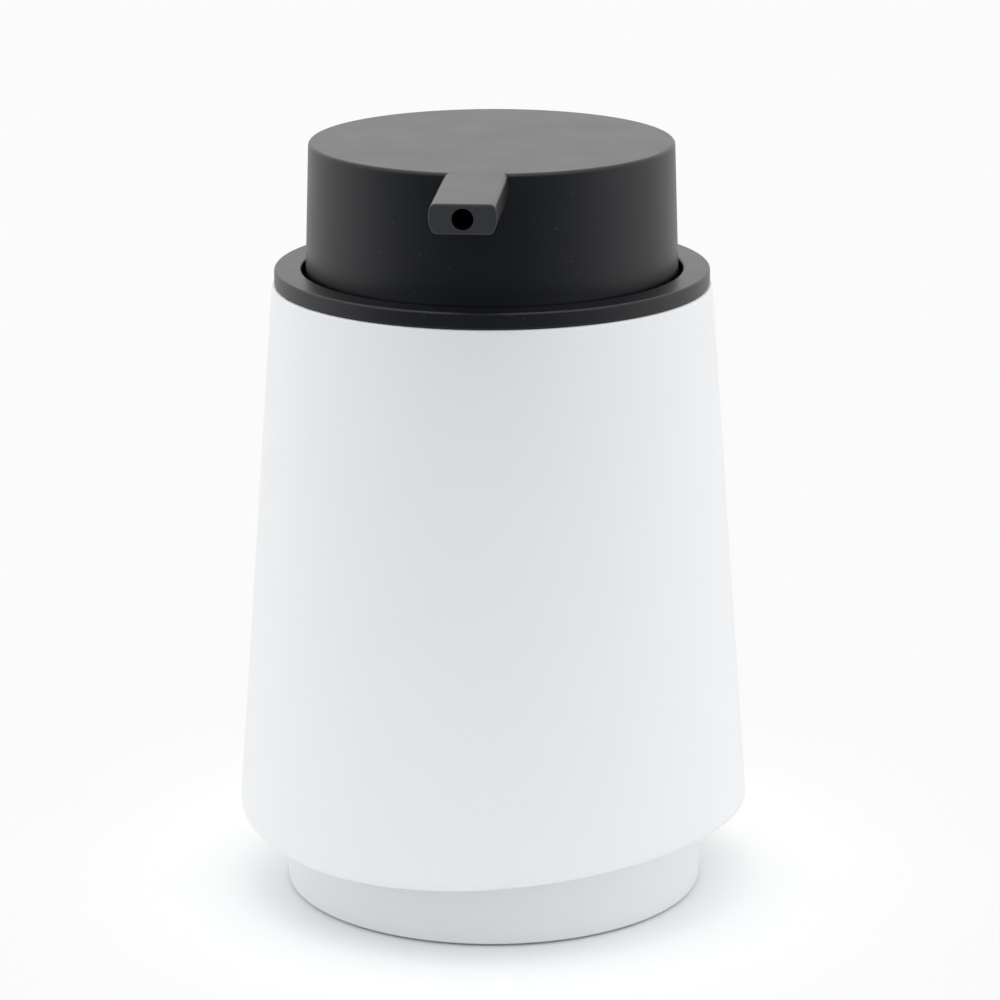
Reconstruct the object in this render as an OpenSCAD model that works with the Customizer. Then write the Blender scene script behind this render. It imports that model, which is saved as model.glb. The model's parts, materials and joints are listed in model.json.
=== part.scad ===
// Free-standing soap dispenser: a tapered reservoir with a waved lower edge on a recessed foot,
// with a drop-in collar, a lotion pump and a large push cap that carries a flat bar spout.
// Millimetres. The origin is the centre of the resting face, +Z is up, the spout points along -Y.

/* [Body] */
// Diameter of the body at the mean height of its lower edge
body_d = 84.6; // [80:0.2:100]
// Diameter of the body at its top edge
body_top_d = 71.2; // [66:0.2:78]
// Height of the body's top edge above the table
body_top_z = 101.5; // [94:0.5:140]
// Wall of the body
body_wall = 3; // [2.4:0.1:3.6]
// Wall of the body's neck, where the collar drops in
neck_wall = 2.6; // [2:0.1:3.4]
// Mean height of the body's lower edge, which has two gentle waves
edge_z = 13.75; // [12:0.05:20]
// Rise and fall of the lower edge's waves about that height
edge_wave = 1.85; // [0.5:0.05:2.2]
// Heading of a low point of the edge from +X, in degrees
edge_heading = 69; // [0:1:359]
// Round of the lower edge
edge_round = 1.5; // [1:0.1:2.4]

/* [Foot] */
// Diameter of the foot
foot_d = 69; // [62:0.2:74]
// Wall of the foot
foot_wall = 1.5; // [1.2:0.1:4]
// Floor of the foot
foot_floor = 2; // [1.4:0.1:3]
// Gap under the foot's edge
foot_gap = 0.4; // [0.2:0.1:0.8]
// Thickness of the non-slip pad
pad_t = 1.2; // [1:0.1:2]
// Height of the foot's spigot above the edge's mean height
spigot_rise = 8.5; // [8:0.1:11]

/* [Collar] */
// Thickness of the collar's rim
collar_t = 2.7; // [2:0.1:4]
// Step from the body's top edge in to the collar's rim
collar_inset = 0.4; // [0:0.1:1]
// Gap between the collar's plug and the neck
plug_gap = 0.4; // [0.3:0.05:0.6]
// Wall of the collar's plug
plug_wall = 1.8; // [1.6:0.1:2.2]
// Floor of the collar's well
well_floor = 2; // [1.5:0.1:3]

/* [Push cap] */
// Height of the cap's top above the collar
cap_rise = 20.5; // [18:0.1:28]
// Depth of the cap's skirt below the collar's top
skirt_dip = 3.7; // [2:0.1:6]
// Gap between the skirt and the collar's well
cap_gap = 0.6; // [0.4:0.1:1]
// Draft of the skirt, in degrees
cap_draft = 1.9; // [0.5:0.1:3]
// Wall of the skirt
cap_wall = 2.2; // [1.6:0.1:3]
// Wall of the cap's top
cap_top_t = 2; // [1.4:0.1:2.6]
// Round of the cap's top edge
cap_round = 0.6; // [0.3:0.1:1.2]
// Number of stiffening ribs under the cap's top
rib_count = 6; // [4:2:10]
// Stroke of the pump
stroke = 10; // [7:0.5:13]

/* [Spout] */
// Reach of the spout's tip from the axis
spout_reach = 53.2; // [44:0.2:64]
// Width of the spout
spout_w = 10.2; // [8:0.1:13]
// Height of the spout
spout_h = 4.6; // [4.4:0.05:5]
// Diameter of the spout's channel
channel_d = 3.2; // [2:0.1:3.4]

/* [Pump] */
// Bore of the pump's cylinder
bore_d = 12; // [11:0.2:14]
// Wall of the pump's cylinder
bore_wall = 1.2; // [0.8:0.1:1.6]
// Diameter of the stem
stem_d = 6.8; // [6.4:0.1:7.4]
// Bore of the stem
stem_bore_d = 3.4; // [3:0.1:3.8]
// Wire of the return spring
wire_d = 0.8; // [0.6:0.05:1]
// Turns of the return spring
spring_turns = 7; // [5:1:9]
// Diameter of the check ball
ball_d = 4; // [3.6:0.1:4.6]
// Lift of the check ball
ball_lift = 1.2; // [0.8:0.1:1.6]
// Play of the piston cup on its rod
cup_play = 1.2; // [0.8:0.1:1.6]
// Outside diameter of the dip tube
tube_d = 5.4; // [5:0.1:6.4]
// Wall of the dip tube
tube_wall = 0.8; // [0.6:0.1:1]
// Gap between the dip tube's end and the floor
tube_gap = 2.8; // [2:0.1:6]

/* [Hidden] */
$fn = 120;

// Clearances and allowances
run_fit = 0.05;      // between pieces that slide or turn on each other
seal_fit = 0.03;     // round an elastic ring
seat_fit = 0.05;     // between a moving piece and its stop
thread_fit = 0.15;   // between the nut and the boss that it screws onto
loose_fit = 0.3;     // between pieces that only pass each other
past = 1;            // how far a cut or a fused piece runs past the face that it meets

// Body
body_r = body_d / 2;
body_top_r = body_top_d / 2;
body_slope = (body_r - body_top_r) / (body_top_z - edge_z);
body_chamfer = 0.4;
edge_lead = 8;       // the round stops this many degrees short of the wall, so it meets the cone crosswise
edge_sections = 72;
edge_steps = 6;
body_lean = atan(body_slope);
neck_r = body_top_r - neck_wall;
neck_land = 2;       // the neck's bore runs this far below the collar's plug
neck_ramp = 3;       // height of the slope from the neck's bore out to the reservoir's wall
function body_at(z) = body_r - (z - edge_z) * body_slope;
function edge_at(a) = edge_z - edge_wave * cos(2 * (a - edge_heading));

// Foot
foot_r = foot_d / 2;
foot_bore_r = foot_r - foot_wall;
foot_edge = 0.3;
foot_low = foot_gap + foot_edge;
shelf_room = 0.6;    // the foot steps out to its spigot this far above the body's highest edge
shelf_z = edge_z + edge_wave + shelf_room;
shelf_t = 1.2;       // the foot's bore ends this far above the step
floor_z = pad_t + foot_floor;
seat_z = edge_z + spigot_rise;
shoulder_r = body_at(seat_z) - body_wall;
shoulder_step = 0.5; // width of the shoulder that stands on the spigot
spigot_r = shoulder_r + shoulder_step;
spigot_wall = 3.2;
spigot_out_r = spigot_r - run_fit;
spigot_in_r = spigot_out_r - spigot_wall;
foot_fillet = 2;
pad_r = foot_bore_r;
ring_d = 1.8;
ring_r = ring_d / 2;
ring_mid_r = spigot_r - seal_fit - ring_r;
ring_drop = 2.6;     // from the top of the spigot to the middle of its ring
ring_z = seat_z - ring_drop;
ring_land = 0.1;

// Collar
collar_r = body_top_r - collar_inset;
collar_top = body_top_z + collar_t;
plug_r = neck_r - plug_gap;
well_r = plug_r - plug_wall;
floor_gap = 2.5;     // left under the skirt at full stroke
well_top = collar_top - skirt_dip - stroke - floor_gap;
well_bottom = well_top - well_floor;
rim_round = 0.4;
lip_groove = 0.8;
lip_h = 3;
lip_drop = 9.5;      // from the body's top edge to the middle of the collar's seal
lip_z = body_top_z - lip_drop;
lip_count = 2;
lip_from = 0.4;      // a lip is at its widest between these two shares of its pitch
lip_to = 0.6;

// Levels of the pump, up from the floor of the well
bore_r = bore_d / 2;
barrel_r = bore_r + bore_wall;
boss_bore_r = barrel_r + loose_fit;
boss_wall = 3.1;
boss_r = boss_bore_r + boss_wall;
boss_h = 6;
gasket_t = 1;
flange_t = 1.4;
guide_t = 1.2;
guide_rise = 1.9;
nut_wall = 2.45;
nut_lip_t = 1.2;
nut_lift = 1.5;      // the nut stops this far above the well's floor
nut_flutes = 20;
flute_d = 1.6;
boss_top = well_top + boss_h;
flange_z = boss_top + gasket_t;
guide_z = flange_z + flange_t;
lip_top_z = guide_z + guide_t;
guide_top = lip_top_z + guide_rise;
nut_top = lip_top_z + nut_lip_t;
nut_bore_r = boss_r + thread_fit;
nut_r = nut_bore_r + nut_wall;
sleeve_r = bore_r - run_fit;
sleeve_depth = 7;
sleeve_bottom = guide_z - sleeve_depth;

// Stem, rod, piston and spring, down from the guide
stem_r = stem_d / 2;
stem_bore_r = stem_bore_d / 2;
seal_wall = 1.45;
seal_h = 1.5;
cup_h = 7;
cup_wall = 1.2;
cup_web = 2;
cup_relief = 0.3;    // the cup stands clear of the bore by this much between its lips
cup_lip_root = 0.9;  // thickness of a lip where it leaves the web
cup_lip_tip = 0.5;   // thickness of a lip at its edge
cup_lip_short = 0.6; // a lip ends this far short of the hub
cup_lip_land = 1;    // height of the band that wipes the bore
cup_lip_taper = 0.8; // height over which the lip draws back from the bore
cup_room = 0.5;      // left between the cup and the guide when the cup is up
cup_top = sleeve_bottom - cup_room - cup_play;
cup_bottom = cup_top - cup_h;
stem_bottom = cup_top + cup_play + 2 * seat_fit;
rod_r = 2.2;
rod_bore_r = 0.9;
spigot_h = 6;
head_t = 2;
head_top = cup_bottom - seat_fit;
head_bottom = head_top - head_t;
wire_r = wire_d / 2;
spring_inset = 1.4;
spring_r = bore_r - spring_inset;
spring_top = head_bottom - seat_fit;
spring_spare = 2.6;  // left between the turns at full stroke
spring_h = stroke + (spring_turns + 1) * wire_d + spring_spare;
spring_bottom = spring_top - spring_h;

// Inlet valve and dip tube, down from the spring
cage_t = 0.8;
cage_top = spring_bottom - seat_fit;
cylinder_floor = cage_top - cage_t;
ball_r = ball_d / 2;
ball_room = 1;
seat_lap = 0.7;      // the ball overlaps the inlet by this much all round
chamber_r = ball_r + ball_room;
chamber_spare = 2;   // height left over the ball in its chamber
chamber_h = ball_d + chamber_spare;
inlet_r = ball_r - seat_lap;
seat_rise = 1.5;
chamber_bottom = cylinder_floor - chamber_h;
inlet_top = chamber_bottom - seat_rise;
inlet_h = 2.5;
tube_r = tube_d / 2;
socket_top = inlet_top - inlet_h;
socket_depth = 12;
socket_bottom = socket_top - socket_depth;
socket_r = tube_r + run_fit;
socket_wall = 1.2;
socket_draft = 0.4;
seat_side = norm([chamber_r - inlet_r, seat_rise]);
seat_sin = seat_rise / seat_side;
seat_cos = (chamber_r - inlet_r) / seat_side;
ball_z = inlet_top + (ball_r + seal_fit - inlet_r * seat_sin) / seat_cos;
cage_bottom = ball_z + ball_r + ball_lift + 2 * seat_fit;
tube_bottom = floor_z + tube_gap;

// Cap and spout, down from the cap's top
cap_top = collar_top + cap_rise;
skirt_z = collar_top - skirt_dip;
cap_r = well_r - cap_gap;
cap_top_r = cap_r - (cap_top - skirt_z) * tan(cap_draft);
cap_inner_top = cap_top - cap_top_t;
cap_fillet = 1.5;
channel_r = channel_d / 2;
channel_z = cap_top - spout_h / 2;
duct_wall = 2.6;
duct_floor = 1.2;
duct_w = channel_d + 2 * duct_wall;
duct_z = channel_z - channel_r - duct_floor;
core_room = 0.7;     // left between the core and the guide at full stroke
core_bottom = guide_top + stroke + core_room;
core_wall = 2.5;
core_r = stem_r + run_fit + core_wall;
core_roof = 0.6;
core_flange_t = 2.2;
core_flange = 1.25;
core_flange_r = core_r + core_flange;
stem_top = duct_z - core_roof;
cap_boss_wall = 1.6;
cap_boss_bore_r = core_r + run_fit;
cap_boss_r = cap_boss_bore_r + cap_boss_wall;
cap_boss_z = core_bottom + core_flange_t;
rib_t = 1;
rib_h = 5.5;
spout_root = cap_top_r - cap_wall;
spout_top_round = 0.9;
spout_low_round = 1;
spout_tip_round = 0.4;
spout_top_lean = 15; // the bowed side meets the upper round at this angle, in degrees
spout_low_lean = 22; // the bowed side meets the lower round at this angle, in degrees
function cap_at(z) = cap_r - (z - skirt_z) * tan(cap_draft);

// Points along an arc, as [x, y], from its first point or from the one after it
function arc(cx, cy, r, from, to, steps = 6, first = 0) =
    [for (i = [first:steps]) let (a = from + (to - from) * i / steps) [cx + r * cos(a), cy + r * sin(a)]];

// A rectangle with one round at its corners
function rounded_box(w, h, r) = concat(
    arc(w / 2 - r, r - h / 2, r, -90, 0),
    arc(w / 2 - r, h / 2 - r, r, 0, 90),
    arc(r - w / 2, h / 2 - r, r, 90, 180),
    arc(r - w / 2, r - h / 2, r, 180, 270));

// One side of the spout's section, from the bottom up: a round, a bowed side and a smaller round, all tangent
function spout_side() = let (
    low = spout_low_round,
    high = spout_top_round,
    fall = sin(spout_low_lean),
    rise = sin(spout_top_lean),
    bow = (spout_h - low * (1 - fall) - high * (1 - rise)) / (fall + rise),
    x = spout_w / 2 - bow,
    z = low - spout_h / 2 + (bow - low) * fall)
    concat(
        arc(x + (bow - low) * cos(spout_low_lean), low - spout_h / 2, low, -90, -spout_low_lean),
        arc(x, z, bow, -spout_low_lean, spout_top_lean, first = 1),
        arc(x + (bow - high) * cos(spout_top_lean), spout_h / 2 - high, high, spout_top_lean, 90, first = 1));

// A solid of revolution from a half outline of [radius, height] points
module turned(outline) rotate_extrude() polygon(outline);

// A ring of rectangular section
module ring(inner, outer, low, high)
    turned([[inner, low], [outer, low], [outer, high], [inner, high]]);

// Headings of the sections through the waved edge, and a point of [radius, height] turned to one
headings = [for (i = [0:edge_sections - 1]) i * 360 / edge_sections];
function spun(p, a) = [p[0] * cos(a), p[0] * sin(a), p[1]];

// One ring of points on the rounded edge: step 0 is its underside, edge_steps is where it leaves for the wall
function edge_ring(step) = [for (a = headings) let (
    z = edge_at(a) + edge_round,
    turn = (90 + body_lean - edge_lead) * step / edge_steps - 90,
    r = body_at(z) - edge_round / cos(body_lean) + edge_round * cos(turn))
    spun([r, z + edge_round * sin(turn)], a)];

// The ring that carries the edge's last slope on, past the wall and up to the body's top
function edge_out() = [for (p = edge_ring(edge_steps)) let (
    reach = 1 + (body_top_z + past - p[2]) * tan(edge_lead - body_lean) / norm([p[0], p[1]]))
    [p[0] * reach, p[1] * reach, body_top_z + past]];

// A solid through rings of points, from the lowest up, closed at both ends towards points on the axis
module ringed(rings, low, high) {
    n = edge_sections;
    last = len(rings) * n;
    polyhedron(
        points = concat([for (points = rings) each points], [[0, 0, low], [0, 0, high]]),
        faces = [for (i = [0:n - 1]) let (next = (i + 1) % n) each concat(
            [[last, i, next], [last + 1, last - n + next, last - n + i]],
            [for (k = [0:len(rings) - 2]) let (a = k * n, b = a + n)
                each [[a + i, b + i, b + next], [a + i, b + next, a + next]]])]);
}

module body_shell() color("white") difference() {
    ramp_z = well_bottom - neck_land - neck_ramp;
    intersection() {
        turned([[0, 0], [body_at(0), 0], [body_at(body_top_z - body_chamfer), body_top_z - body_chamfer],
                [body_top_r - body_chamfer, body_top_z], [0, body_top_z]]);
        ringed(concat([for (step = [0:edge_steps]) edge_ring(step)], [edge_out()]), edge_z, body_top_z + past);
    }
    // The bore for the foot's spigot, the reservoir and the neck, in one outline
    turned([[0, -past], [spigot_r, -past], [spigot_r, seat_z], [shoulder_r, seat_z],
            [body_at(ramp_z) - body_wall, ramp_z], [neck_r, ramp_z + neck_ramp],
            [neck_r, body_top_z + past], [0, body_top_z + past]]);
}

module foot_base() color("whitesmoke") difference() {
    // The upright ring and the spigot in the body's bore
    turned([[0, foot_gap], [foot_r - foot_edge, foot_gap], [foot_r, foot_low], [foot_r, shelf_z],
            [spigot_out_r, shelf_z], [spigot_out_r, seat_z], [0, seat_z]]);
    // The floor, the bore and the slope out to the spigot's wall
    turned(concat([[0, floor_z]],
                  arc(foot_bore_r - foot_fillet, floor_z + foot_fillet, foot_fillet, -90, 0),
                  [[foot_bore_r, shelf_z + shelf_t],
                   [spigot_in_r, shelf_z + shelf_t + (spigot_in_r - foot_bore_r) / 2],
                   [spigot_in_r, seat_z + past], [0, seat_z + past]]));
    translate([0, 0, foot_gap - past]) cylinder(r = pad_r + run_fit * 2, h = pad_t - foot_gap + past);
    ring(ring_mid_r - ring_r - seal_fit, spigot_r + past,
         ring_z - ring_r - ring_land, ring_z + ring_r + ring_land);
}

module base_seal() color("dimgray")
    rotate_extrude() translate([ring_mid_r, ring_z]) circle(r = ring_r);

module non_slip_pad() color("gainsboro")
    turned([[0, 0], [pad_r - foot_edge, 0], [pad_r, foot_edge], [pad_r, pad_t], [0, pad_t]]);

module collar() color("#2b2c2e") difference() {
    union() {
        turned(concat([[well_r, body_top_z]],
                      arc(collar_r - rim_round, body_top_z + rim_round, rim_round, -90, 0),
                      arc(collar_r - rim_round, collar_top - rim_round, rim_round, 0, 90),
                      arc(well_r + rim_round, collar_top - rim_round, rim_round, 90, 180)));
        ring(well_r, plug_r, well_bottom, body_top_z);
        ring(boss_bore_r, plug_r, well_bottom, well_top);
        ring(boss_bore_r, boss_r, well_bottom, boss_top);
    }
    ring(plug_r - lip_groove, plug_r + past, lip_z - lip_h / 2, lip_z + lip_h / 2);
}

module collar_seal() color("lightgray") {
    back = plug_r - lip_groove + seal_fit;
    lip_r = neck_r - run_fit;
    pitch = lip_h / lip_count;
    low = lip_z - lip_h / 2 + seal_fit;
    turned(concat([[back, low]],
                  [for (i = [0:lip_count - 1]) each [
                      [plug_r, low + i * pitch], [lip_r, low + (i + lip_from) * pitch],
                      [lip_r, low + (i + lip_to) * pitch], [plug_r, low + (i + 1) * pitch - 2 * seal_fit]]],
                  [[back, low + lip_h - 2 * seal_fit]]));
}

module spout_bar() {
    length = spout_reach - spout_root;
    mid = -(spout_reach + spout_root) / 2;
    side = spout_side();
    section = concat(side, [for (i = [len(side) - 1:-1:0]) [-side[i][0], side[i][1]]]);
    intersection() {
        translate([0, -spout_root, channel_z]) rotate([90, 0, 0]) linear_extrude(length) polygon(section);
        translate([0, mid, channel_z - spout_h]) linear_extrude(2 * spout_h)
            polygon(rounded_box(spout_w, length, spout_tip_round));
        translate([-spout_w, mid, channel_z]) rotate([90, 0, 90]) linear_extrude(2 * spout_w)
            polygon(rounded_box(length, spout_h, spout_tip_round));
    }
}

module push_cap() color("#2b2c2e") difference() {
    union() {
        // Skirt and top
        turned(concat([[cap_at(skirt_z) - cap_wall, skirt_z], [cap_r, skirt_z]],
                      arc(cap_top_r - cap_round, cap_top - cap_round, cap_round, 0, 90),
                      [[0, cap_top], [0, cap_inner_top]],
                      arc(cap_top_r - cap_wall - cap_fillet, cap_inner_top - cap_fillet, cap_fillet, 90, 0)));
        spout_bar();
        // Duct from the axis to the spout
        translate([0, 0, duct_z]) linear_extrude(cap_inner_top - duct_z) {
            circle(r = cap_boss_r);
            translate([-duct_w / 2, -cap_at(duct_z) + cap_wall / 2])
                square([duct_w, cap_at(duct_z) - cap_wall / 2]);
        }
        ring(cap_boss_bore_r, cap_boss_r, cap_boss_z, duct_z + past);
        // Stiffening ribs, clear of the duct
        for (i = [0:rib_count - 1])
            rotate([0, 0, (i + 0.5) * 360 / rib_count - 90])
                translate([cap_boss_r - rib_t, -rib_t / 2, cap_inner_top - rib_h])
                    cube([cap_top_r - cap_boss_r - cap_wall / 2 + rib_t, rib_t, rib_h]);
    }
    translate([0, stem_bore_r, channel_z]) rotate([90, 0, 0])
        cylinder(r = channel_r, h = spout_reach + stem_bore_r + past);
    translate([0, 0, duct_z - past]) cylinder(r = channel_r, h = channel_z - duct_z + past);
}

module actuator_core() color("ivory")
    turned([[stem_r + run_fit, core_bottom], [core_flange_r, core_bottom],
            [core_flange_r, cap_boss_z], [core_r, cap_boss_z], [core_r, duct_z],
            [stem_bore_r, duct_z], [stem_bore_r, stem_top + seat_fit],
            [stem_r + run_fit, stem_top + seat_fit]]);

module pump_nut() color("ivory") difference() {
    union() {
        ring(nut_bore_r, nut_r, well_top + nut_lift, nut_top);
        ring(sleeve_r + loose_fit, nut_bore_r + past, lip_top_z, nut_top);
    }
    for (i = [0:nut_flutes - 1])
        rotate([0, 0, i * 360 / nut_flutes])
            translate([nut_r + flute_d / 4, 0, well_top])
                cylinder(d = flute_d, h = lip_top_z - well_top);
}

module pump_gasket() color("gainsboro")
    ring(boss_bore_r, boss_r, boss_top, flange_z);

module pump_cylinder() color("aliceblue")
    turned([[bore_r, guide_z], [boss_r, guide_z], [boss_r, flange_z], [barrel_r, flange_z],
            [barrel_r, cylinder_floor - bore_wall],
            [socket_r + socket_wall + socket_draft, chamber_bottom - bore_wall],
            [socket_r + socket_wall, socket_bottom], [socket_r, socket_bottom], [socket_r, socket_top],
            [inlet_r, socket_top], [inlet_r, inlet_top], [chamber_r, chamber_bottom],
            [chamber_r, cylinder_floor], [bore_r, cylinder_floor]]);

module stem_guide() color("ivory")
    turned([[stem_r + run_fit, sleeve_bottom], [sleeve_r, sleeve_bottom], [sleeve_r, guide_z],
            [boss_r, guide_z], [boss_r, lip_top_z], [sleeve_r, lip_top_z], [sleeve_r, guide_top],
            [stem_r + run_fit + seal_wall, guide_top], [stem_r + run_fit + seal_wall, guide_top - seal_h],
            [stem_r + run_fit, guide_top - seal_h]]);

module stem_seal() color("lightgray")
    ring(stem_r + run_fit, stem_r + run_fit + seal_wall - seal_fit, guide_top - seal_h, guide_top - seat_fit);

module pump_stem() color("ivory")
    ring(stem_bore_r, stem_r, stem_bottom, stem_top);

module piston_rod() color("ivory") difference() {
    nose_r = spring_r - wire_r - loose_fit;
    plug_in_r = stem_bore_r - run_fit / 2;
    port_z = cup_bottom + cup_h / 2;
    turned([[0, head_bottom - head_t], [nose_r, head_bottom - head_t], [nose_r, head_bottom],
            [spring_r + wire_r, head_bottom], [spring_r + wire_r, head_top], [rod_r, head_top],
            [rod_r, stem_bottom], [plug_in_r, stem_bottom], [plug_in_r, stem_bottom + spigot_h],
            [0, stem_bottom + spigot_h]]);
    // Soap enters by a cross hole that the cup covers at rest, and rises through the rod
    translate([0, 0, port_z]) cylinder(r = rod_bore_r, h = stem_bottom + spigot_h - port_z + past);
    translate([-bore_r, 0, port_z]) rotate([0, 90, 0]) cylinder(r = rod_bore_r, h = bore_d);
}

// Half of the piston cup, from its mid plane out to one end: a hub, a web and a lip that wipes the bore
function cup_half() = let (
    hub = rod_r + run_fit,
    hub_r = hub + cup_wall,
    lip_r = bore_r - run_fit,
    end = cup_h / 2,
    lip_end = end - cup_lip_short,
    land_end = lip_end - cup_lip_land)
    [[hub, end], [hub_r, end], [hub_r, cup_web / 2], [lip_r - cup_lip_root, cup_web / 2],
     [lip_r - cup_lip_tip, lip_end], [lip_r, lip_end], [lip_r, land_end],
     [lip_r - cup_relief, land_end - cup_lip_taper]];

module piston_cup() color("white")
    translate([0, 0, cup_bottom + cup_h / 2]) {
        half = cup_half();
        turned(concat(half, [for (i = [len(half) - 1:-1:0]) [half[i][0], -half[i][1]]]));
    }

// The spring's wire as one swept tube with an even pitch
wire_sides = 6;
turn_rings = 12;
ring_count = spring_turns * turn_rings;
wire_low = spring_bottom + wire_r;
wire_span = spring_h - wire_d;
function wire_at(i) = let (a = i * 360 / turn_rings)
    [spring_r * cos(a), spring_r * sin(a), wire_low + wire_span * i / ring_count];
function wire_ring(i) = let (a = i * 360 / turn_rings, c = wire_at(i))
    [for (s = [0:wire_sides - 1]) let (b = s * 360 / wire_sides)
        c + wire_r * [cos(b) * cos(a), cos(b) * sin(a), sin(b)]];
wire_points = [for (i = [0:ring_count]) each wire_ring(i)];
wire_gap = min([for (i = [0:ring_count - turn_rings]) norm(wire_at(i + turn_rings) - wire_at(i))]) - wire_d;
wire_sides_faces = [for (i = [0:ring_count - 1], s = [0:wire_sides - 1])
    let (n = (s + 1) % wire_sides, a = i * wire_sides, b = a + wire_sides)
    each [[a + s, b + s, a + n], [a + n, b + s, b + n]]];
wire_ends = [for (s = [1:wire_sides - 2]) each [
    [0, s, s + 1],
    [ring_count * wire_sides, ring_count * wire_sides + s + 1, ring_count * wire_sides + s]]];
echo(spring_gap = wire_gap);

module return_spring() color("silver")
    polyhedron(points = wire_points, faces = concat(wire_sides_faces, wire_ends));

module ball_cage() color("ivory") difference() {
    turned([[inlet_r, cage_bottom], [chamber_r - run_fit, cage_bottom], [chamber_r - run_fit, cylinder_floor],
            [spring_r + wire_r, cylinder_floor], [spring_r + wire_r, cage_top], [inlet_r, cage_top]]);
    for (a = [0, 90])
        rotate([0, 0, a])
            translate([-chamber_r, -inlet_r / 2, cage_bottom - past])
                cube([2 * chamber_r, inlet_r, cylinder_floor - cage_bottom + past - cage_t]);
}

module check_ball() color("lightsteelblue")
    translate([0, 0, ball_z]) sphere(r = ball_r);

module dip_tube() color("aliceblue") difference() {
    ring(tube_r - tube_wall, tube_r, tube_bottom, socket_top - seat_fit);
    // The end is cut on a slant so that it can't seal itself against the floor
    translate([0, 0, tube_bottom + tube_r]) rotate([0, 45, 0])
        translate([-tube_d, -tube_d, -2 * tube_d]) cube(2 * tube_d);
}

body_shell();
foot_base();
base_seal();
non_slip_pad();
collar();
collar_seal();
push_cap();
actuator_core();
pump_nut();
pump_gasket();
pump_cylinder();
stem_guide();
stem_seal();
pump_stem();
piston_rod();
piston_cup();
return_spring();
ball_cage();
check_ball();
dip_tube();
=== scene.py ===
"""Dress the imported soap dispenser.

Every piece gets a finish, the pieces that show get finer meshes, and a light tent stands round them.
"""

from __future__ import annotations

import json
import logging
import math
from collections.abc import Callable, Iterator, Mapping, Sequence
from dataclasses import dataclass, replace
from enum import Enum
from typing import Any

import bmesh
import bpy
from mathutils import Matrix, Vector

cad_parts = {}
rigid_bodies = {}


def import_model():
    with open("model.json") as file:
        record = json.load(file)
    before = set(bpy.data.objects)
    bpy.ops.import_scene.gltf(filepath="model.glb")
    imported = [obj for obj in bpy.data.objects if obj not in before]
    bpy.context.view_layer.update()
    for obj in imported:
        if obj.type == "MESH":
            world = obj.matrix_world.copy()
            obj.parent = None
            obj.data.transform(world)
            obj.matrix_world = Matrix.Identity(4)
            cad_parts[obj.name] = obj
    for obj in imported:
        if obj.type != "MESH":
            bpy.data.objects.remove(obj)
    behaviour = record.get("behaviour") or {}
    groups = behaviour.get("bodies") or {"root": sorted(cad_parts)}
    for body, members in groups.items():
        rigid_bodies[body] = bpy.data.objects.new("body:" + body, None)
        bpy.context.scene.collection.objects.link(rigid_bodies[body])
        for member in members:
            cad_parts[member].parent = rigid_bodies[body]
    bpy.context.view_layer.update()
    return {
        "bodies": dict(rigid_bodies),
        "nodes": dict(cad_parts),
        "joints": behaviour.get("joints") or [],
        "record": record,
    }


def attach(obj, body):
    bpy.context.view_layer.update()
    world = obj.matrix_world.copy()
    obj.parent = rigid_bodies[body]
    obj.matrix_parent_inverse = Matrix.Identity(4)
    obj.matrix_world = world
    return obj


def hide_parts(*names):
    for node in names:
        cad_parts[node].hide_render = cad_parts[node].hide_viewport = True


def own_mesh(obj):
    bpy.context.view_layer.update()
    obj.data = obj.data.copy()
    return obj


LOG = logging.getLogger("soap_dispenser")

MM = 0.001

# Faces round a turned piece and across a round, and the angle from which an edge stays sharp
SEGMENTS = 216
ROUND_STEPS = 7
SHARP_ANGLE = math.radians(34)

# Noise keeps mostly to this range, so a drift over it reaches both of its ends
NOISE_LOW = 0.3
NOISE_HIGH = 0.7
CLOUD_DETAIL = 3.0
TEXTURE_DETAIL = 2.0

# The Mix node repeats its sockets' names for each kind of data, so those for colours go by number
MIX_SHARE = 0
MIX_FIRST = 6
MIX_SECOND = 7
MIX_RESULT = 2


class Slot(Enum):
    """The record's material slots."""

    WHITE_ABS = "white_abs"
    FOOT_ABS = "foot_abs"
    BLACK_ABS = "black_abs"
    MOULDED_PP = "moulded_pp"
    NATURAL_PP = "natural_pp"
    TUBE_PE = "tube_pe"
    SILICONE = "silicone"
    PAD_RUBBER = "pad_rubber"
    SPRING_STEEL = "spring_steel"
    BALL_GLASS = "ball_glass"


class Body(Enum):
    """The bodies that pieces ride on."""

    RESERVOIR = "reservoir"
    PUMP_UNIT = "pump_unit"
    ACTUATOR = "actuator"


def linear(code: str) -> tuple[float, float, float, float]:
    """Turn an sRGB hex colour into a linear one.

    Args:
        code: The colour as six hex digits after a hash sign.

    Returns:
        Red, green, blue and an alpha of 1.
    """
    shares = [int(code[i:i + 2], 16) / 255 for i in (1, 3, 5)]
    red, green, blue = (s / 12.92 if s <= 0.04045 else ((s + 0.055) / 1.055) ** 2.4 for s in shares)
    return red, green, blue, 1.0


def cosine(degrees: float) -> float:
    """Cosine of an angle in degrees."""
    return math.cos(math.radians(degrees))


def add_node(tree: bpy.types.NodeTree, kind: str, inputs: Mapping[str | int, Any] | None = None,
             **settings: Any) -> bpy.types.Node:
    """Add a node with its settings, and set or link its inputs.

    Args:
        tree: The tree that gets the node.
        kind: Blender's name for the node's type.
        inputs: A value, or an output to link, for each input by its name or number.
        settings: Values of the node's own properties.

    Returns:
        The new node.
    """
    node = tree.nodes.new(kind)
    for name, value in settings.items():
        setattr(node, name, value)
    for key, value in (inputs or {}).items():
        if isinstance(value, bpy.types.NodeSocket):
            tree.links.new(value, node.inputs[key])
        else:
            node.inputs[key].default_value = value
    return node


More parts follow.
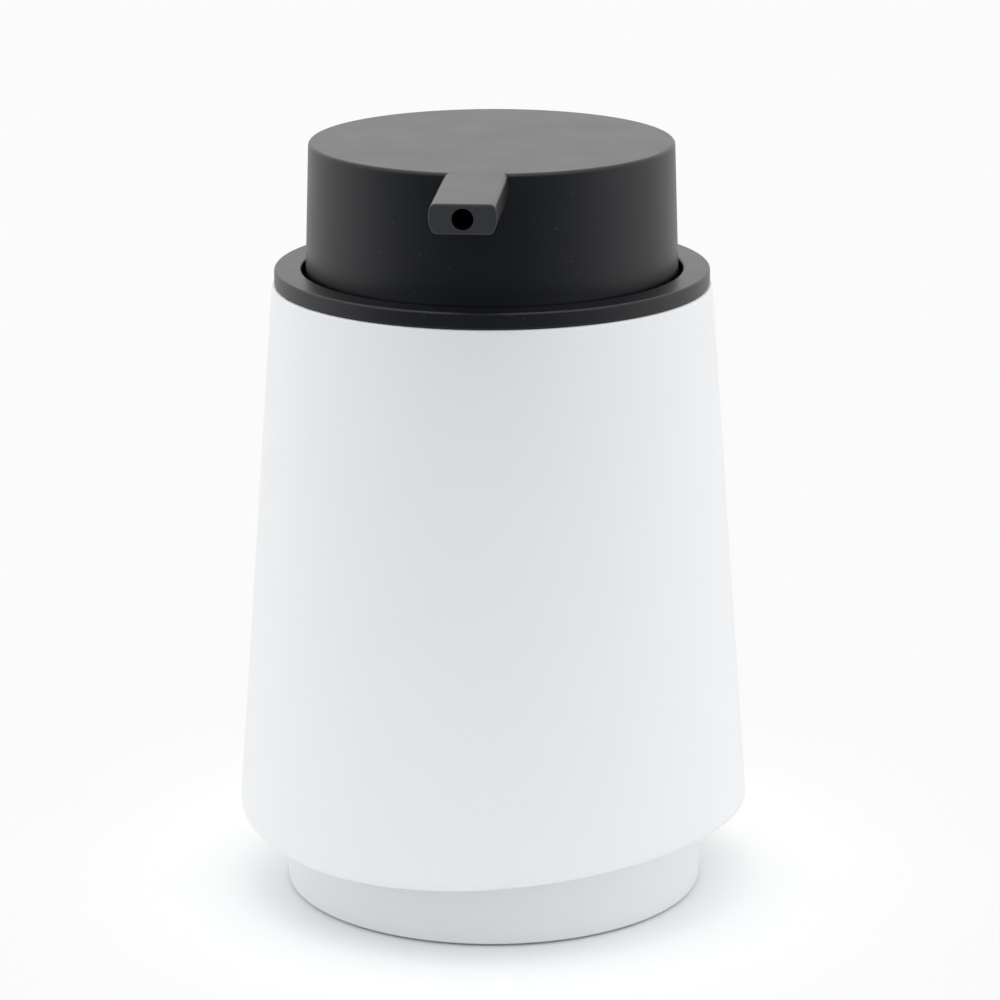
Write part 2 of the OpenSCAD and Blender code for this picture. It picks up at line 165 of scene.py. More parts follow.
@dataclass(frozen=True)
class Finish:
    """A material as it leaves its maker: its slot, its colour and how it takes the light.

    Attributes:
        slot: The record's slot that the finish fills.
        colour: The main colour, as sRGB hex.
        drift_colour: The colour that the main one drifts to in soft clouds.
        drift_mm: Size of those clouds.
        roughness: Roughness of the surface.
        gloss_drift: How far the roughness strays either way in the clouds.
        ior: Index of refraction.
        texture_mm: Size of the surface's fine texture.
        texture_depth_mm: Depth of the fine texture.
    """

    slot: Slot
    colour: str
    drift_colour: str
    drift_mm: float
    roughness: float
    gloss_drift: float
    ior: float
    texture_mm: float
    texture_depth_mm: float

    def build(self) -> bpy.types.Material:
        """Make the material.

        Returns:
            The material, named for its slot.
        """
        material = bpy.data.materials.new(self.slot.value)
        material.use_nodes = True
        tree = material.node_tree
        tree.nodes.clear()
        shader = add_node(tree, "ShaderNodeBsdfPrincipled", {"IOR": self.ior})
        add_node(tree, "ShaderNodeOutputMaterial", {"Surface": shader.outputs["BSDF"]})
        self.dress(tree, shader, self.place(tree))
        return material

    def place(self, tree: bpy.types.NodeTree) -> bpy.types.NodeSocket:
        """Give the place on the piece in millimetres, so that patterns are scaled by real sizes."""
        metres = add_node(tree, "ShaderNodeTexCoord").outputs["Object"]
        return add_node(tree, "ShaderNodeVectorMath", {0: metres, "Scale": 1 / MM},
                        operation="SCALE").outputs["Vector"]

    def dress(self, tree: bpy.types.NodeTree, shader: bpy.types.Node, place: bpy.types.NodeSocket) -> None:
        """Link the clouds of colour and gloss and the fine texture to the shader.

        Args:
            tree: The material's nodes.
            shader: The material's shader.
            place: The place on the piece, in millimetres.
        """
        clouds = add_node(tree, "ShaderNodeTexNoise",
                          {"Vector": place, "Scale": 1 / self.drift_mm, "Detail": CLOUD_DETAIL})
        drift = {"Value": clouds.outputs["Fac"], "From Min": NOISE_LOW, "From Max": NOISE_HIGH}
        share = add_node(tree, "ShaderNodeMapRange", drift)
        colour = add_node(tree, "ShaderNodeMix",
                          {MIX_SHARE: share.outputs["Result"], MIX_FIRST: linear(self.colour),
                           MIX_SECOND: linear(self.drift_colour)}, data_type="RGBA")
        gloss = add_node(tree, "ShaderNodeMapRange",
                         {**drift, "To Min": self.roughness - self.gloss_drift,
                          "To Max": self.roughness + self.gloss_drift})
        texture = add_node(tree, "ShaderNodeTexNoise",
                           {"Vector": place, "Scale": 1 / self.texture_mm, "Detail": TEXTURE_DETAIL})
        bump = add_node(tree, "ShaderNodeBump",
                        {"Height": texture.outputs["Fac"], "Strength": 1.0,
                         "Distance": self.texture_depth_mm * MM})
        tree.links.new(colour.outputs[MIX_RESULT], shader.inputs["Base Color"])
        tree.links.new(gloss.outputs["Result"], shader.inputs["Roughness"])
        tree.links.new(bump.outputs["Normal"], shader.inputs["Normal"])


@dataclass(frozen=True)
class FleckedMoulding(Finish):
    """A dark moulding with a spark-eroded texture, whose peaks catch the light as scattered pale flecks of
    painted highlight.

    Attributes:
        painted_glint_colour: Colour of the flecks, a painted highlight.
        fleck_mm: Spacing of the places where a fleck may be.
        fleck_share: Share of those places that have one.
        fleck_r_mm: Radius of a fleck.
        land_y_mm: Place along Y of the spout's end land, which is drawn rougher and paler.
        land_colour: Colour of that land, paler than the rest of the moulding.
        land_roughness: Roughness of that land.
    """

    painted_glint_colour: str
    fleck_mm: float
    fleck_share: float
    fleck_r_mm: float
    land_y_mm: float
    land_colour: str
    land_roughness: float

    def dress(self, tree: bpy.types.NodeTree, shader: bpy.types.Node, place: bpy.types.NodeSocket) -> None:
        """Add the pale flecks of painted highlight and the rougher, paler land over the moulding's own clouds
        and texture.

        Args:
            tree: The material's nodes.
            shader: The material's shader.
            place: The place on the piece, in millimetres.
        """
        super().dress(tree, shader, place)
        ways = add_node(tree, "ShaderNodeSeparateXYZ", {"Vector": place})
        land = add_node(tree, "ShaderNodeMath", {0: ways.outputs["Y"], 1: self.land_y_mm},
                        operation="LESS_THAN").outputs["Value"]
        gloss = shader.inputs["Roughness"].links[0].from_socket
        rough = add_node(tree, "ShaderNodeMapRange",
                         {"Value": land, "To Min": gloss, "To Max": self.land_roughness})
        tree.links.new(rough.outputs["Result"], shader.inputs["Roughness"])
        plain = shader.inputs["Base Color"].links[0].from_socket
        under = add_node(tree, "ShaderNodeMix",
                         {MIX_SHARE: land, MIX_FIRST: plain, MIX_SECOND: linear(self.land_colour)},
                         data_type="RGBA")
        # The pale flecks on the texture's peaks are painted highlight, drawn into the base colour
        cells = add_node(tree, "ShaderNodeTexVoronoi", {"Vector": place, "Scale": 1 / self.fleck_mm})
        near = add_node(tree, "ShaderNodeMath",
                        {0: cells.outputs["Distance"], 1: self.fleck_r_mm / self.fleck_mm},
                        operation="LESS_THAN")
        draw = add_node(tree, "ShaderNodeSeparateColor", {"Color": cells.outputs["Color"]})
        chosen = add_node(tree, "ShaderNodeMath", {0: draw.outputs["Red"], 1: self.fleck_share},
                          operation="LESS_THAN")
        fleck = add_node(tree, "ShaderNodeMath", {0: near.outputs["Value"], 1: chosen.outputs["Value"]},
                         operation="MULTIPLY")
        colour = add_node(tree, "ShaderNodeMix",
                          {MIX_SHARE: fleck.outputs["Value"], MIX_FIRST: under.outputs[MIX_RESULT],
                           MIX_SECOND: linear(self.painted_glint_colour)}, data_type="RGBA")
        tree.links.new(colour.outputs[MIX_RESULT], shader.inputs["Base Color"])


@dataclass(frozen=True)
class ClearMoulding(Finish):
    """A plastic without pigment, which lets the light and the pieces behind it through.

    Attributes:
        clearness: Share of the light that goes through.
    """

    clearness: float

    def dress(self, tree: bpy.types.NodeTree, shader: bpy.types.Node, place: bpy.types.NodeSocket) -> None:
        """Let the light through under the moulding's own clouds and texture."""
        super().dress(tree, shader, place)
        shader.inputs["Transmission Weight"].default_value = self.clearness


@dataclass(frozen=True)
class DrawnWire(Finish):
    """Bright spring wire, with fine lines along it from the die that it was drawn through.

    Attributes:
        line_mm: Spacing of the lines round the wire.
        line_length_mm: Length over which a line fades.
    """

    line_mm: float
    line_length_mm: float

    def place(self, tree: bpy.types.NodeTree) -> bpy.types.NodeSocket:
        """Give the place along and round the wire, drawn out so that the clouds become lines along it.

        Args:
            tree: The material's nodes.

        Returns:
            The drawn-out place.
        """
        along = add_node(tree, "ShaderNodeTexCoord").outputs["UV"]
        scale = (self.drift_mm / self.line_length_mm, self.drift_mm / self.line_mm, 1.0)
        return add_node(tree, "ShaderNodeVectorMath", {0: along, 1: scale},
                        operation="MULTIPLY").outputs["Vector"]

    def dress(self, tree: bpy.types.NodeTree, shader: bpy.types.Node, place: bpy.types.NodeSocket) -> None:
        """Make the wire a metal under its lines."""
        super().dress(tree, shader, place)
        shader.inputs["Metallic"].default_value = 1.0


# Injection-moulded white ABS with a fine matte texture: an even, slightly cool white without a sharp
# highlight. The real texture is about 0.05 mm, too fine to show, so it is drawn at 0.35 mm.
WHITE_ABS = Finish(
    slot=Slot.WHITE_ABS, colour="#F1F2F3", drift_colour="#F0F1F2", drift_mm=14.0,
    roughness=0.55, gloss_drift=0.02, ior=1.52, texture_mm=0.35, texture_depth_mm=0.004)

# The same ABS from another mould, with clouds of another size.
FOOT_ABS = replace(WHITE_ABS, slot=Slot.FOOT_ABS, drift_mm=12.0)

# Injection-moulded black ABS with a spark-eroded texture: charcoal that goes grey at a low angle, with pale
# flecks. The real texture is about 0.08 mm, too fine to show, so it is drawn at 0.28 mm.
# The pale flecks are painted highlight on the texture's peaks.
BLACK_ABS = FleckedMoulding(
    slot=Slot.BLACK_ABS, colour="#0A0C12", drift_colour="#0C0E14", drift_mm=9.0,
    roughness=0.38, gloss_drift=0.015, ior=1.5, texture_mm=0.28, texture_depth_mm=0.008,
    painted_glint_colour="#3C3D3F", fleck_mm=1.1, fleck_share=0.1, fleck_r_mm=0.12,
    land_y_mm=-53.16, land_colour="#2C2E33", land_roughness=0.75)

# Injection-moulded polypropylene: waxy off-white with soft flow clouds.
MOULDED_PP = Finish(
    slot=Slot.MOULDED_PP, colour="#E8E6E0", drift_colour="#DFDCD4", drift_mm=5.0,
    roughness=0.42, gloss_drift=0.06, ior=1.49, texture_mm=0.6, texture_depth_mm=0.006)

# Polypropylene without pigment: milky and see-through, so the spring and the ball show in the cylinder.
NATURAL_PP = ClearMoulding(
    slot=Slot.NATURAL_PP, colour="#E9EEEF", drift_colour="#DFE7E8", drift_mm=6.0,
    roughness=0.26, gloss_drift=0.06, ior=1.49, texture_mm=0.8, texture_depth_mm=0.004, clearness=0.8)

# Extruded polyethylene tube: milky, a little softer in its gloss than the cylinder.
TUBE_PE = ClearMoulding(
    slot=Slot.TUBE_PE, colour="#E8EDEE", drift_colour="#DCE4E6", drift_mm=4.0,
    roughness=0.34, gloss_drift=0.05, ior=1.51, texture_mm=0.7, texture_depth_mm=0.004, clearness=0.7)

# Moulded silicone: grey, soft and slightly dusty, with a dull bloom.
SILICONE = Finish(
    slot=Slot.SILICONE, colour="#CDCFD1", drift_colour="#C4C7C9", drift_mm=3.0,
    roughness=0.55, gloss_drift=0.08, ior=1.41, texture_mm=0.3, texture_depth_mm=0.006)

# Foam rubber sheet: pale grey with fine open cells, drawn at 0.7 mm so that they show.
PAD_RUBBER = Finish(
    slot=Slot.PAD_RUBBER, colour="#C2C4C6", drift_colour="#B4B7B9", drift_mm=6.0,
    roughness=0.8, gloss_drift=0.08, ior=1.45, texture_mm=0.7, texture_depth_mm=0.06)

# Stainless wire, drawn and coiled: bright, with lines along it, drawn at 0.2 mm so that they show.
SPRING_STEEL = DrawnWire(
    slot=Slot.SPRING_STEEL, colour="#C6C7C8", drift_colour="#A9ABAD", drift_mm=3.0,
    roughness=0.24, gloss_drift=0.08, ior=1.5, texture_mm=0.2, texture_depth_mm=0.01,
    line_mm=0.2, line_length_mm=6.0)

# Ground and tumbled glass ball: clear with a faint green, slightly frosted.
BALL_GLASS = ClearMoulding(
    slot=Slot.BALL_GLASS, colour="#DDEBE8", drift_colour="#D2E4E0", drift_mm=2.0,
    roughness=0.1, gloss_drift=0.03, ior=1.52, texture_mm=0.4, texture_depth_mm=0.002, clearness=1.0)

FINISHES: tuple[Finish, ...] = (WHITE_ABS, FOOT_ABS, BLACK_ABS, MOULDED_PP, NATURAL_PP, TUBE_PE, SILICONE,
                                PAD_RUBBER, SPRING_STEEL, BALL_GLASS)


@dataclass(frozen=True)
class Corner:
    """A corner of a turned outline, in millimetres.

    Attributes:
        r: Distance from the axis.
        z: Height above the table.
        round: Radius of the round at the corner, or 0 for a sharp corner.
    """

    r: float
    z: float
    round: float = 0.0


def rounded(corners: Sequence[Corner]) -> Iterator[tuple[float, float]]:
    """Round the corners of a closed outline.

    Args:
        corners: The outline's corners in order.

    Yields:
        Radius and height of the outline's points, with each round as an arc.
    """
    count = len(corners)
    for i, here in enumerate(corners):
        if not here.round:
            yield here.r, here.z
            continue
        middle = Vector((here.r, here.z))
        beside = (corners[i - 1], corners[(i + 1) % count])
        arms = [(Vector((corner.r, corner.z)) - middle).normalized() for corner in beside]
        half = arms[0].angle(arms[1]) / 2
        centre = middle + (arms[0] + arms[1]).normalized() * here.round / math.sin(half)
        spokes = [middle + arm * here.round / math.tan(half) - centre for arm in arms]
        sweep = math.pi - 2 * half
        for step in range(ROUND_STEPS + 1):
            part = sweep * step / ROUND_STEPS
            spoke = (spokes[0] * math.sin(sweep - part) + spokes[1] * math.sin(part)) / math.sin(sweep)
            yield tuple(centre + spoke)


def turn(bm: bmesh.types.BMesh, outline: Callable[[float], Sequence[Corner]]) -> None:
    """Turn a closed outline round the Z axis into a solid.

    Args:
        bm: The geometry that gets the solid.
        outline: Gives the corners in order at a heading in radians. Corners on the axis close the piece.
    """
    columns: list[list[bmesh.types.BMVert]] = []
    for k in range(SEGMENTS):
        heading = 2 * math.pi * k / SEGMENTS
        column = []
        for i, (r, z) in enumerate(rounded(outline(heading))):
            if r == 0.0 and columns:
                column.append(columns[0][i])
            else:
                point = Vector((r * math.cos(heading), r * math.sin(heading), z))
                column.append(bm.verts.new(point * MM))
        columns.append(column)
    for k, column in enumerate(columns):
        before = columns[k - 1]
        for i in range(len(column)):
            loop = list(dict.fromkeys((before[i - 1], column[i - 1], column[i], before[i])))
            if len(loop) > 2:
                bm.faces.new(loop)


def all_round(corners: Sequence[Corner]) -> Callable[[float], Sequence[Corner]]:
    """Make an outline that is the same at every heading."""
    return lambda _heading: corners


def turned(name: str, outline: Callable[[float], Sequence[Corner]]) -> bpy.types.Object:
    """Make a smooth piece of one turned outline.

    Args:
        name: Name of the new piece.
        outline: Gives the corners in order at a heading in radians.

    Returns:
        The new piece, at rest in the row frame.
    """
    bm = bmesh.new()
    turn(bm, outline)
    return finished(name, bm)


def loft(bm: bmesh.types.BMesh, rings: Sequence[Sequence[Vector]]) -> list[list[bmesh.types.BMFace]]:
    """Skin a solid over closed rings of points, and close its two ends.

    Args:
        bm: The geometry that gets the solid.
        rings: The rings in order, all with the same number of points, in millimetres.

    Returns:
        The faces of each band between two rings, in the order of the points.
    """
    verts = [[bm.verts.new(point * MM) for point in ring] for ring in rings]
    bands = []
    for low, high in zip(verts, verts[1:]):
        corners = zip(low, high, high[1:] + high[:1], low[1:] + low[:1])
        bands.append([bm.faces.new(loop) for loop in corners])
    bm.faces.new(verts[0])
    bm.faces.new(verts[-1])
    return bands


def finished(name: str, bm: bmesh.types.BMesh) -> bpy.types.Object:
    """Turn worked geometry into a smooth piece in the scene.

    Args:
        name: Name of the new piece.
        bm: The geometry, which is freed.

    Returns:
        The new piece.
    """
    bmesh.ops.recalc_face_normals(bm, faces=bm.faces)
    mesh = bpy.data.meshes.new(name)
    bm.to_mesh(mesh)
    bm.free()
    mesh.shade_smooth()
    mesh.set_sharp_from_angle(angle=SHARP_ANGLE)
    piece = bpy.data.objects.new(name, mesh)
    bpy.context.scene.collection.objects.link(piece)
    piece.modifiers.new("even_shading", "WEIGHTED_NORMAL").keep_sharp = True
    return piece


class Dresser:
    """Gives pieces their finishes and their places on the frame."""

    def __init__(self, frame: dict[str, Any]) -> None:
        """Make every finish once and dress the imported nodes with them.
        """
        self.materials = {finish.slot: finish.build() for finish in FINISHES}
        for row in frame["record"]["subparts"]:
            node = frame["nodes"][row["node"]]
            node.data.materials.clear()
            node.data.materials.append(self.materials[Slot(row["material_slot"])])
            LOG.info("%s is finished in %s", row["node"], row["material_slot"])

    def place(self, piece: bpy.types.Object, body: Body, slot: Slot, node: str) -> bpy.types.Object:
        """Put a new piece on its body in place of a node.

        Args:
            piece: The new piece.
            body: The body that it rides on.
            slot: The slot of its finish.
            node: The node that it stands for.

        Returns:
            The piece.
        """
        piece.data.materials.append(self.materials[slot])
        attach(piece, body.value)
        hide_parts(node)
        LOG.info("%s stands for %s on %s", piece.name, node, body.value)
        return piece


@dataclass(frozen=True)
class Reservoir:
    """The white reservoir: the tapered body, the foot that closes it and the pad under the foot.

    Sizes are in millimetres. The seats inside are measured from edge_z and edge_wave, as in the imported
    solids. The lower edge that shows has the rim's own values.
    """

    body_r: float = 42.3
    body_top_r: float = 35.6
    body_top_z: float = 101.5
    body_wall: float = 3.0
    neck_r: float = 33.0
    neck_low_z: float = 84.0
    ramp_low_z: float = 81.0
    lip_round: float = 0.4
    edge_z: float = 13.75
    edge_wave: float = 1.85
    rim_z: float = 12.8
    rim_wave: float = 1.45
    rim_heading: float = math.radians(58.6)
    rim_round: float = 1.5
    foot_r: float = 34.5
    foot_gap: float = 0.4
    foot_round: float = 0.35
    foot_wall: float = 1.5
    floor_z: float = 3.2
    floor_fillet: float = 2.0
    shelf_room: float = 0.6
    shelf_t: float = 1.2
    spigot_rise: float = 8.5
    spigot_step: float = 0.5
    spigot_wall: float = 3.2
    fit: float = 0.05
    seal_d: float = 1.8
    seal_drop: float = 2.6
    seal_land: float = 0.1
    break_round: float = 0.25
    pad_t: float = 1.2
    pad_round: float = 0.45

    @property
    def slope(self) -> float:
        """The body's taper: radius lost for each millimetre of height."""
        return (self.body_r - self.body_top_r) / (self.body_top_z - self.edge_z)

    @property
    def foot_bore_r(self) -> float:
        """Radius of the foot's bore, and of the pad under it."""
        return self.foot_r - self.foot_wall

    @property
    def seat_z(self) -> float:
        """Height of the shoulder on which the body stands on the foot."""
        return self.edge_z + self.spigot_rise

    @property
    def spigot_r(self) -> float:
        """Radius of the bore that takes the foot's spigot."""
        return self.wall_r(self.seat_z) - self.body_wall + self.spigot_step

    def wall_r(self, z: float) -> float:
        """Radius of the body's outer wall at a height."""
        return self.body_r - (z - self.edge_z) * self.slope

    def edge(self, heading: float) -> Corner:
        """The body's lower edge at a heading: two gentle waves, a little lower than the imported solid's."""
        z = self.rim_z - self.rim_wave * math.cos(2 * (heading - self.rim_heading))
        return Corner(self.wall_r(z), z, self.rim_round)

    def body_outline(self, heading: float) -> list[Corner]:
        """The tapered body with its waved lower edge, its neck and the bore for the foot.

        Args:
            heading: Heading of the outline from +X, in radians.

        Returns:
            The outline's corners in order.
        """
        edge = self.edge(heading)
        return [
            Corner(self.spigot_r, edge.z, self.break_round),
            edge,
            Corner(self.body_top_r, self.body_top_z, self.lip_round),
            Corner(self.neck_r, self.body_top_z, self.lip_round),
            Corner(self.neck_r, self.neck_low_z, self.lip_round),
            Corner(self.wall_r(self.ramp_low_z) - self.body_wall, self.ramp_low_z, self.lip_round),
            Corner(self.wall_r(self.seat_z) - self.body_wall, self.seat_z),
            Corner(self.spigot_r, self.seat_z),
        ]

    def foot_outline(self) -> list[Corner]:
        """The upright foot with its floor, the step out to its spigot and the groove for its seal.

        Returns:
            The outline's corners in order.
        """
        shelf = self.edge_z + self.edge_wave + self.shelf_room
        spigot = self.spigot_r - self.fit
        inside = spigot - self.spigot_wall
        groove = self.spigot_r - self.seal_d - 2 * self.fit
        middle = self.seat_z - self.seal_drop
        half = self.seal_d / 2 + self.seal_land
        return [
            Corner(0.0, self.pad_t),
            Corner(self.foot_bore_r + 2 * self.fit, self.pad_t),
            Corner(self.foot_bore_r + 2 * self.fit, self.foot_gap, self.break_round),
            Corner(self.foot_r, self.foot_gap, self.foot_round),
            Corner(self.foot_r, shelf, self.break_round),
            Corner(spigot, shelf, self.break_round),
            Corner(spigot, middle - half),
            Corner(groove, middle - half),
            Corner(groove, middle + half),
            Corner(spigot, middle + half),
            Corner(spigot, self.seat_z, self.break_round),
            Corner(inside, self.seat_z, self.break_round),
            Corner(inside, shelf + self.shelf_t + (inside - self.foot_bore_r) / 2),
            Corner(self.foot_bore_r, shelf + self.shelf_t),
            Corner(self.foot_bore_r, self.floor_z, self.floor_fillet),
            Corner(0.0, self.floor_z),
        ]

    def pad_outline(self) -> list[Corner]:
        """The foam pad with its rolled edge.

        Returns:
            The outline's corners in order.
        """
        return [
            Corner(0.0, 0.0),
            Corner(self.foot_bore_r, 0.0, self.pad_round),
            Corner(self.foot_bore_r, self.pad_t, self.break_round),
            Corner(0.0, self.pad_t),
        ]

    def build(self, dresser: Dresser) -> None:
        """Make the reservoir's pieces and put them on the frame.

        Args:
            dresser: Gives the pieces their finishes and places.
        """
        body = turned("body_moulding", self.body_outline)
        foot = turned("foot_moulding", all_round(self.foot_outline()))
        pad = turned("foam_pad", all_round(self.pad_outline()))
        dresser.place(body, Body.RESERVOIR, Slot.WHITE_ABS, "body_shell")
        dresser.place(foot, Body.RESERVOIR, Slot.FOOT_ABS, "foot_base")
        dresser.place(pad, Body.RESERVOIR, Slot.PAD_RUBBER, "non_slip_pad")


@dataclass(frozen=True)
class Collar:
    """The black collar with the well that the cap travels in, and the silicone ring on its plug.

    Sizes are in millimetres. A lip's land runs between two shares of its pitch.
    """

    rim_r: float = 35.2
    rim_low_z: float = 101.5
    rim_top_z: float = 104.2
    rim_round: float = 0.4
    plug_r: float = 32.6
    plug_low_z: float = 86.0
    plug_round: float = 0.6
    well_r: float = 30.8
    well_z: float = 88.0
    well_fillet: float = 0.5
    boss_r: float = 10.6
    boss_bore_r: float = 7.5
    boss_top_z: float = 94.0
    break_round: float = 0.2
    groove: float = 0.8
    seal_r: float = 32.95
    seal_z: float = 92.0
    seal_h: float = 3.0
    seal_fit: float = 0.03
    lip_count: int = 2
    lip_round: float = 0.16
    land_low: float = 0.36
    land_high: float = 0.64

    def moulding_outline(self) -> list[Corner]:
        """The collar's rim, plug, well and boss as one moulding.

        Returns:
            The outline's corners in order.
        """
        low = self.seal_z - self.seal_h / 2
        high = self.seal_z + self.seal_h / 2
        return [
            Corner(self.boss_bore_r, self.plug_low_z, self.break_round),
            Corner(self.plug_r, self.plug_low_z, self.plug_round),
            Corner(self.plug_r, low),
            Corner(self.plug_r - self.groove, low),
            Corner(self.plug_r - self.groove, high),
            Corner(self.plug_r, high),
            Corner(self.plug_r, self.rim_low_z),
            Corner(self.rim_r, self.rim_low_z, self.rim_round),
            Corner(self.rim_r, self.rim_top_z, self.rim_round),
            Corner(self.well_r, self.rim_top_z, self.rim_round),
            Corner(self.well_r, self.well_z, self.well_fillet),
            Corner(self.boss_r, self.well_z, self.break_round),
            Corner(self.boss_r, self.boss_top_z, self.break_round),
            Corner(self.boss_bore_r, self.boss_top_z, self.break_round),
        ]

    def seal_outline(self) -> list[Corner]:
        """The soft ring, whose rounded lips press on the neck.

        Returns:
            The outline's corners in order.
        """
        back = self.plug_r - self.groove + self.seal_fit
        low = self.seal_z - self.seal_h / 2 + self.seal_fit
        height = self.seal_h - 2 * self.seal_fit
        pitch = height / self.lip_count
        corners = [Corner(back, low)]
        for lip in range(self.lip_count):
            foot = low + lip * pitch
            corners += [Corner(self.plug_r, foot, 0.0 if lip == 0 else self.lip_round),
                        Corner(self.seal_r, foot + pitch * self.land_low, self.lip_round),
                        Corner(self.seal_r, foot + pitch * self.land_high, self.lip_round)]
        return corners + [Corner(self.plug_r, low + height), Corner(back, low + height)]

    def build(self, dresser: Dresser) -> None:
        """Make the collar and its ring and put them on the frame.

        Args:
            dresser: Gives the pieces their finishes and places.
        """
        moulding = turned("collar_moulding", all_round(self.moulding_outline()))
        seal = turned("collar_lip_ring", all_round(self.seal_outline()))
        dresser.place(moulding, Body.PUMP_UNIT, Slot.BLACK_ABS, "collar")
        dresser.place(seal, Body.PUMP_UNIT, Slot.SILICONE, "collar_seal")


@dataclass(frozen=True)
class PushCap:
    """The black push cap: a drafted skirt and top, a bar spout, and the duct, socket and ribs inside.

    Sizes are in millimetres.
    """

    skirt_r: float = 30.2
    skirt_z: float = 100.5
    top_r: float = 29.397
    top_z: float = 124.7
    top_round: float = 0.6
    skirt_round: float = 0.4
    wall: float = 2.2
    top_t: float = 2.0
    fillet: float = 1.5
    break_round: float = 0.25
    socket_bore_r: float = 6.0
    socket_r: float = 7.6
    socket_z: float = 112.4
    rib_count: int = 6
    rib_t: float = 1.0
    rib_h: float = 5.5
    duct_w: float = 8.4
    duct_z: float = 119.6
    spout_reach: float = 53.2
    spout_w: float = 10.2
    spout_h: float = 4.6
    spout_top_round: float = 0.9
    spout_low_round: float = 1.0
    spout_top_lean: float = math.radians(15)
    spout_low_lean: float = math.radians(22)
    tip_round: float = 0.4
    sunk: float = 0.05
    channel_r: float = 1.6
    mouth_round: float = 0.15
    channel_end: float = 31.0
    flat_steps: int = 14

    @property
    def inner_top(self) -> float:
        """Height of the cap's top on the inside."""
        return self.top_z - self.top_t

    @property
    def channel_z(self) -> float:
        """Height of the middle of the spout and its channel."""
        return self.top_z - self.spout_h / 2

    def shell_outline(self) -> list[Corner]:
        """The skirt, the top and the socket that takes the core, as one moulding.

        Returns:
            The outline's corners in order.
        """
        inner_r = self.top_r - self.wall
        return [
            Corner(0.0, self.channel_z),
            Corner(self.channel_r, self.channel_z),
            Corner(self.channel_r, self.duct_z),
            Corner(self.socket_bore_r, self.duct_z),
            Corner(self.socket_bore_r, self.socket_z, self.break_round),
            Corner(self.socket_r, self.socket_z, self.break_round),
            Corner(self.socket_r, self.inner_top, self.break_round),
            Corner(inner_r, self.inner_top, self.fillet),
            Corner(self.skirt_r - self.wall, self.skirt_z, self.break_round),
            Corner(self.skirt_r, self.skirt_z, self.skirt_round),
            Corner(self.top_r, self.top_z, self.top_round),
            Corner(0.0, self.top_z),
        ]

    def spout_section(self, inset: float) -> list[tuple[float, float]]:
        """The spout's section: flat above and below, with bowed sides that run into rounds.

        Args:
            inset: How far the outline is drawn in all round.

        Returns:
            Distances across and up from the section's middle, round from the lower right corner.
        """
        fall = math.sin(self.spout_low_lean)
        rise = math.sin(self.spout_top_lean)
        low, high, half = self.spout_low_round, self.spout_top_round, self.spout_h / 2
        bow = (self.spout_h - low * (1 - fall) - high * (1 - rise)) / (fall + rise)
        middle = self.spout_w / 2 - bow
        arcs = (
            (middle + (bow - low) * math.cos(self.spout_low_lean), low - half, low,
             -math.pi / 2, -self.spout_low_lean),
            (middle, low - half + (bow - low) * fall, bow, -self.spout_low_lean, self.spout_top_lean),
            (middle + (bow - high) * math.cos(self.spout_top_lean), half - high, high,
             self.spout_top_lean, math.pi / 2),
        )
        right = [(arcs[0][0], inset - half)]
        for x, z, r, first, last in arcs:
            for k in range(1, ROUND_STEPS + 1):
                a = first + (last - first) * k / ROUND_STEPS
                right.append((x + (r - inset) * math.cos(a), z + (r - inset) * math.sin(a)))
        shares = [k / self.flat_steps for k in range(1, self.flat_steps)]
        top = [(right[-1][0] * (1 - 2 * share), right[-1][1]) for share in shares]
        bottom = [(right[0][0] * (2 * share - 1), right[0][1]) for share in shares]
        return right + top + [(-x, z) for x, z in reversed(right)] + bottom

    def spout_ring(self, out: float, section: Sequence[tuple[float, float]]) -> list[Vector]:
        """Place a section across the spout, at a distance from the cap's axis."""
        return [Vector((x, -out, self.channel_z + z)) for x, z in section]

    def spout_rings(self) -> Iterator[list[Vector]]:
        """Rings of the spout: out of the cap, round its tip, across its end and down its channel.

        Yields:
            The points of each ring in order.
        """
        full = self.spout_section(0.0)
        # Inside the cap the bar dips a little under the cap's top, so that two faces never lie in one plane
        yield self.spout_ring(self.top_r - self.wall, [(x, z - self.sunk) for x, z in full])
        yield self.spout_ring(self.top_r, full)
        bends = [math.pi / 2 * k / ROUND_STEPS for k in range(ROUND_STEPS + 1)]
        for bend in bends:
            yield self.spout_ring(self.spout_reach - self.tip_round * (1 - math.sin(bend)),
                                  self.spout_section(self.tip_round * (1 - math.cos(bend))))
        count = len(full)
        first = math.atan2(full[0][1], full[0][0])
        angles = [first + 2 * math.pi * k / count for k in range(count)]
        spokes = [(math.cos(angle), math.sin(angle)) for angle in angles]
        for bend in bends:
            r = self.channel_r + self.mouth_round * (1 - math.sin(bend))
            yield self.spout_ring(self.spout_reach - self.mouth_round * (1 - math.cos(bend)),
                                  [(r * x, r * z) for x, z in spokes])
        yield self.spout_ring(self.channel_end, [(self.channel_r * x, self.channel_r * z) for x, z in spokes])

    def bar(self, bm: bmesh.types.BMesh, heading: float, width: float, low: float, length: float) -> None:
        """Add a bar under the cap's top, from the socket out to the skirt.

        Args:
            bm: The geometry that gets the bar.
            heading: Heading of the bar from +X, in radians.
            width: Width of the bar.
            low: Height of its lower edge.
            length: Reach of the bar from the axis.
        """
        side = width / 2
        edge = min(self.break_round, width / 4)
        high = self.inner_top + self.top_t / 2
        outline = [(-side, low + edge), (edge - side, low), (side - edge, low), (side, low + edge),
                   (side, high), (-side, high)]
        turned_by = Matrix.Rotation(heading, 3, "Z")
        ends = (self.socket_bore_r, length)
        loft(bm, [[turned_by @ Vector((out, x, z)) for x, z in outline] for out in ends])

